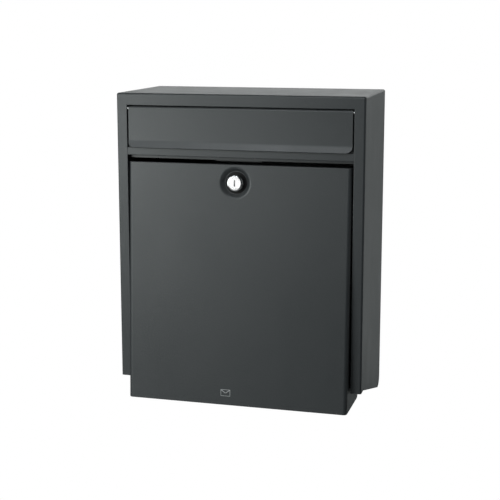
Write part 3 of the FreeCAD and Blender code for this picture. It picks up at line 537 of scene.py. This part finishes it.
def clamp_nut(material):
    """Six-sided nut with its corners eased."""
    mesh = bmesh.new()
    ring_face(mesh, NUT_ACROSS / 2.0 / math.cos(math.radians(30.0)), NUT_BORE, 30.0)
    thicken(mesh, -NUT_THICK)
    bmesh.ops.rotate(mesh, verts=mesh.verts, matrix=about(90.0, "X"))
    bmesh.ops.remove_doubles(mesh, verts=mesh.verts, dist=1e-4)
    bmesh.ops.recalc_face_normals(mesh, faces=mesh.faces)
    soften(mesh, 0.5, least_turn=25.0)
    bmesh.ops.translate(mesh, vec=(0.0, DISH_BACK, 0.0), verts=mesh.verts)
    place_in_lock(mesh)
    return finish_piece(mesh, "clamp_nut", "door", material, ["lock_nut"])


def socket_screw(material):
    """Button head with a six-sided socket, and its shank in the plug."""
    mesh = bmesh.new()
    socket, rim = ring_face(mesh, 1.55, 2.2, 0.0)
    grow_ring(mesh, socket, [(1.0, -1.1)])
    grow_ring(mesh, rim, [(3.0 / 2.2, -0.35), (3.45 / 3.0, -0.55), (3.6 / 3.45, -0.5), (1.0, -0.6),
                          (2.0 / 3.6, 0.0), (1.0, -8.7)])
    bmesh.ops.rotate(mesh, verts=mesh.verts, matrix=about(-90.0, "X"))
    bmesh.ops.translate(mesh, vec=(0.0, SCREW_SEAT, 0.0), verts=mesh.verts)
    place_in_lock(mesh)
    return finish_piece(mesh, "button_screw", "lock", material, ["cam_screw"])


def grow_ring(mesh, edges, steps):
    """Extrude a ring of edges through steps of (scale across, move along Z), and close its end."""
    for scale, move in steps:
        grown = bmesh.ops.extrude_edge_only(mesh, edges=edges)
        verts = new_parts(grown, bmesh.types.BMVert)
        edges = new_parts(grown, bmesh.types.BMEdge)
        bmesh.ops.scale(mesh, vec=(scale, scale, 1.0), verts=verts)
        bmesh.ops.translate(mesh, vec=(0.0, 0.0, move), verts=verts)
    bmesh.ops.holes_fill(mesh, edges=edges, sides=0)


def rivet_pieces(name, node, body, material, axis, head, grip, tail):
    """Domed rivets, one in each solid of the node: head, shank and set tail."""
    mesh = bmesh.new()
    low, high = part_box(node)
    middle = (Vector(low) + Vector(high)) / 2.0
    reach = (Vector(high).x - Vector(low).x) / 2.0 - HEAD_RADIUS * MILLIMETRE
    length = head + grip + tail
    profile = [(radius, depth * head / HEAD_HIGH) for radius, depth in DOMED_HEAD]
    profile += [(SHANK_RADIUS, head), (SHANK_RADIUS, head + grip), (HEAD_RADIUS, head + grip)]
    profile += [(radius, length - depth * tail / HEAD_HIGH) for radius, depth in reversed(DOMED_HEAD[:-1])]
    for sign in (-1.0, 1.0):
        place = Vector((middle.x + sign * reach, middle.y, middle.z))
        new = add_turned(mesh, profile, 40, closed=False)
        bmesh.ops.translate(mesh, vec=(0.0, -length / 2.0, 0.0), verts=new)
        bmesh.ops.transform(mesh, matrix=along(axis, place), verts=new)
    return finish_piece(mesh, name, body, material, [node])


def hinge_pin_pair(material):
    """Pins with domed heads and a lead-in at their ends."""
    mesh = bmesh.new()
    low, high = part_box("hinge_pins")
    place = (Vector(low) + Vector(high)) / 2.0
    profile = [(0.0, 0.0), (1.6, 0.0), (2.0, 0.4), (2.0, 4.6), (3.5, 4.6), (3.4, 5.3), (2.8, 5.85),
               (1.8, 6.15), (0.0, 6.2)]
    for sign, edge in ((-1.0, low[0]), (1.0, high[0])):
        end = Vector((edge, place.y, place.z))
        new = add_turned(mesh, profile, 48, closed=False)
        bmesh.ops.transform(mesh, matrix=along((-sign, 0.0, 0.0), end), verts=new)
    return finish_piece(mesh, "hinge_pin_pair", "casing", material, ["hinge_pins"])


def rounded_gasket_and_gap_shade(material):
    """Rubber ring with a rolled edge under the lock's head; its black also stands in for the shade of a gap
    round the head, as painted shade.
    """
    mesh = bmesh.new()
    # Painted shade: the ring reaches out to 12.2 so that its black lies where a shaded flange and gap would
    # be.
    add_turned(mesh, [(8.1, 3.2), (11.6, 3.2), (12.0, 3.32), (12.2, 3.6), (12.2, 4.0), (8.1, 4.0)], 96)
    place_in_lock(mesh)
    return finish_piece(mesh, "rounded_gasket_and_gap_shade", "door", material, ["lock_gasket"])


def letter_mark(material):
    """A small plain envelope, printed low on the door."""
    mesh = bmesh.new()
    made = bmesh.ops.create_grid(mesh, x_segments=1, y_segments=1, size=0.5)
    bmesh.ops.scale(mesh, vec=(MARK_WIDE, MARK_HIGH, 1.0), verts=made["verts"])
    sheet = next(iter(mesh.faces))
    bmesh.ops.inset_individual(mesh, faces=[sheet], thickness=MARK_LINE, depth=0.0)
    bmesh.ops.delete(mesh, geom=[sheet], context="FACES_ONLY")
    slope = math.atan2(MARK_HIGH * 0.5, MARK_WIDE / 2.0)
    long = math.hypot(MARK_WIDE / 2.0, MARK_HIGH * 0.5) - 1.5 * MARK_LINE
    for sign in (-1.0, 1.0):
        stroke = bmesh.ops.create_grid(mesh, x_segments=1, y_segments=1, size=0.5)["verts"]
        bmesh.ops.scale(mesh, vec=(long, MARK_LINE, 1.0), verts=stroke)
        bmesh.ops.rotate(mesh, matrix=Matrix.Rotation(sign * slope, 3, "Z"), verts=stroke)
        middle = (sign * (MARK_WIDE / 4.0 - 0.3), MARK_HIGH * 0.25 - 0.5, 0.0)
        bmesh.ops.translate(mesh, vec=middle, verts=stroke)
    thicken(mesh, MARK_THICK)
    bmesh.ops.rotate(mesh, verts=mesh.verts, matrix=about(90.0, "X"))
    bmesh.ops.translate(mesh, vec=(MARK_ACROSS, 0.0, MARK_UP), verts=mesh.verts)
    place_in_lock(mesh)
    return finish_piece(mesh, "letter_mark", "door", material)


def finish_nodes(nodes, material):
    """Give the CAD nodes their material."""
    for node in nodes:
        thing = frame["nodes"][node]
        thing.data.materials.clear()
        thing.data.materials.append(material)


# ---------------------------------------------------------------- floor, lights, camera

def pale_floor():
    """Pale ground that the camera sees as white."""
    low = cad_box[0].z - FLOOR_DROP
    mesh = bmesh.new()
    bmesh.ops.create_grid(mesh, x_segments=1, y_segments=1, size=FLOOR_REACH)
    bmesh.ops.translate(mesh, verts=mesh.verts, vec=(0.0, 0.0, low))
    data = bpy.data.meshes.new("floor")
    mesh.to_mesh(data)
    mesh.free()
    floor = bpy.data.objects.new("floor", data)
    bpy.context.collection.objects.link(floor)
    material, tree, shader = new_material("pale_floor")
    shader.inputs["Base Color"].default_value = (0.45, 0.45, 0.45, 1.0)
    shader.inputs["Roughness"].default_value = 0.9
    bright = tree.nodes.new("ShaderNodeEmission")
    bright.inputs["Strength"].default_value = 1.0
    path = tree.nodes.new("ShaderNodeLightPath")
    mix = tree.nodes.new("ShaderNodeMixShader")
    link(tree, path.outputs["Is Camera Ray"], mix.inputs["Fac"])
    link(tree, shader.outputs["BSDF"], mix.inputs[1])
    link(tree, bright.outputs["Emission"], mix.inputs[2])
    link(tree, mix.outputs["Shader"], tree.nodes["Material Output"].inputs["Surface"])
    data.materials.append(material)


def soft_light(name, place, target, wide, high, power, colour=(1.0, 1.0, 1.0)):
    """A rectangular soft light that faces its target."""
    data = bpy.data.lights.new(name, "AREA")
    data.shape = "RECTANGLE"
    data.size = wide
    data.size_y = high
    data.energy = power
    data.color = colour
    light = bpy.data.objects.new(name, data)
    light.location = place
    towards = Vector(target) - Vector(place)
    light.rotation_euler = towards.to_track_quat("-Z", "Y").to_euler()
    light.visible_camera = False
    bpy.context.collection.objects.link(light)


def studio():
    """Soft lights, and a world that is white to the camera and dim to everything else.

    The key stands on the left, lip_glow above for the flap's lip, low_fill under the door. Two lights serve
    the right side, a small one the lock, and a wide one behind the roof.
    """
    soft_light("key", (-0.97, -1.35, 0.17), BOX_MIDDLE, 0.9, 0.9, 15.5, (0.95, 1.0, 0.985))
    soft_light("lip_glow", (-0.22, -1.3, 1.05), BOX_MIDDLE, 0.8, 0.3, 6.9, (0.92, 0.97, 1.0))
    soft_light("low_fill", (-0.6, -1.2, -1.0), BOX_MIDDLE, 1.2, 0.6, 1.1)
    soft_light("right", (1.5, 0.1, 0.35), BOX_MIDDLE, 0.9, 1.2, 3.0, (0.94, 1.0, 0.99))
    soft_light("side_glow", (0.75, 1.4, -0.2), BOX_MIDDLE, 0.6, 1.0, 1.3, (0.94, 1.0, 0.99))
    soft_light("lock_glint", (-0.35, -1.4, 0.01), LOCK_FACE, 0.34, 0.34, 0.44)
    soft_light("behind", (0.0, 1.9, 0.75), BOX_MIDDLE, 3.0, 1.1, 14.0, (0.97, 1.0, 0.995))
    world = bpy.data.worlds.new("studio")
    world.use_nodes = True
    tree = world.node_tree
    tree.nodes.clear()
    seen = tree.nodes.new("ShaderNodeBackground")
    seen.inputs["Color"].default_value = (1.0, 1.0, 1.0, 1.0)
    seen.inputs["Strength"].default_value = 1.0
    around = tree.nodes.new("ShaderNodeBackground")
    around.inputs["Color"].default_value = (0.8, 0.9, 1.0, 1.0)
    around.inputs["Strength"].default_value = 0.03
    path = tree.nodes.new("ShaderNodeLightPath")
    mix = tree.nodes.new("ShaderNodeMixShader")
    end = tree.nodes.new("ShaderNodeOutputWorld")
    link(tree, path.outputs["Is Camera Ray"], mix.inputs["Fac"])
    link(tree, around.outputs["Background"], mix.inputs[1])
    link(tree, seen.outputs["Background"], mix.inputs[2])
    link(tree, mix.outputs["Shader"], end.inputs["Surface"])
    bpy.context.scene.world = world
    bpy.context.scene.view_settings.view_transform = "Standard"


def camera():
    """The camera at its viewing angle."""
    data = bpy.data.cameras.new("camera")
    data.lens = CAMERA_LENS
    data.sensor_width = SENSOR_WIDE
    data.shift_y = CAMERA_SHIFT
    thing = bpy.data.objects.new("camera", data)
    thing.location = CAMERA_PLACE
    thing.rotation_euler = (math.radians(90.0 - CAMERA_DOWN), 0.0, math.radians(CAMERA_TURN))
    bpy.context.collection.objects.link(thing)
    bpy.context.scene.camera = thing


coat = powder_coat()
zinc = zinc_steel()
chrome = lock_chrome()
rubber = black_rubber()
nylon = white_nylon()
finish_nodes(POWDER_COAT, coat)
finish_nodes(ZINC_STEEL, zinc)
finish_nodes(LOCK_CHROME, chrome)
finish_nodes(BLACK_RUBBER, rubber)
finish_nodes(WHITE_NYLON, nylon)
lock_head(chrome)
keyed_plug(chrome)
clamp_nut(zinc)
socket_screw(zinc)
rounded_gasket_and_gap_shade(rubber)
rivet_pieces("strike_rivet_pair", "strike_rivets", "casing", zinc, (0.0, 0.0, -1.0), 0.8, 2.0, 0.4)
rivet_pieces("ear_rivet_pair", "ear_rivets", "casing", zinc, (0.0, 1.0, 0.0), 0.8, 3.0, 0.8)
hinge_pin_pair(zinc)
letter_mark(print_ink())
for node, name, body, slot, material, radius in (
        ("strike_plate", "strike_angle", "casing", "powder_coat", coat, 0.0003),
        ("hinge_ear_left", "ear_left", "casing", "powder_coat", coat, 0.0004),
        ("hinge_ear_right", "ear_right", "casing", "powder_coat", coat, 0.0004),
        ("door_stops", "stop_plates", "casing", "powder_coat", coat, 0.0003),
        ("flap_panel", "letter_flap", "flap", "powder_coat", coat, 0.00028),
        ("lock_cam", "punched_cam", "lock", "zinc_steel", zinc, 0.0003),
        ("cam_washer", "screw_washer", "lock", "zinc_steel", zinc, 0.00015),
        ("flap_rod", "hinge_rod", "casing", "zinc_steel", zinc, 0.0004),
        ("hinge_washers", "spacer_pair", "casing", "white_nylon", nylon, 0.0003),
        ("flap_buffers", "flap_pads", "casing", "black_rubber", rubber, 0.0005),
        ("door_buffers", "door_pads", "casing", "black_rubber", rubber, 0.0008)):
    softened_copy(node, name, body, material, radius)
pale_floor()
studio()
camera()
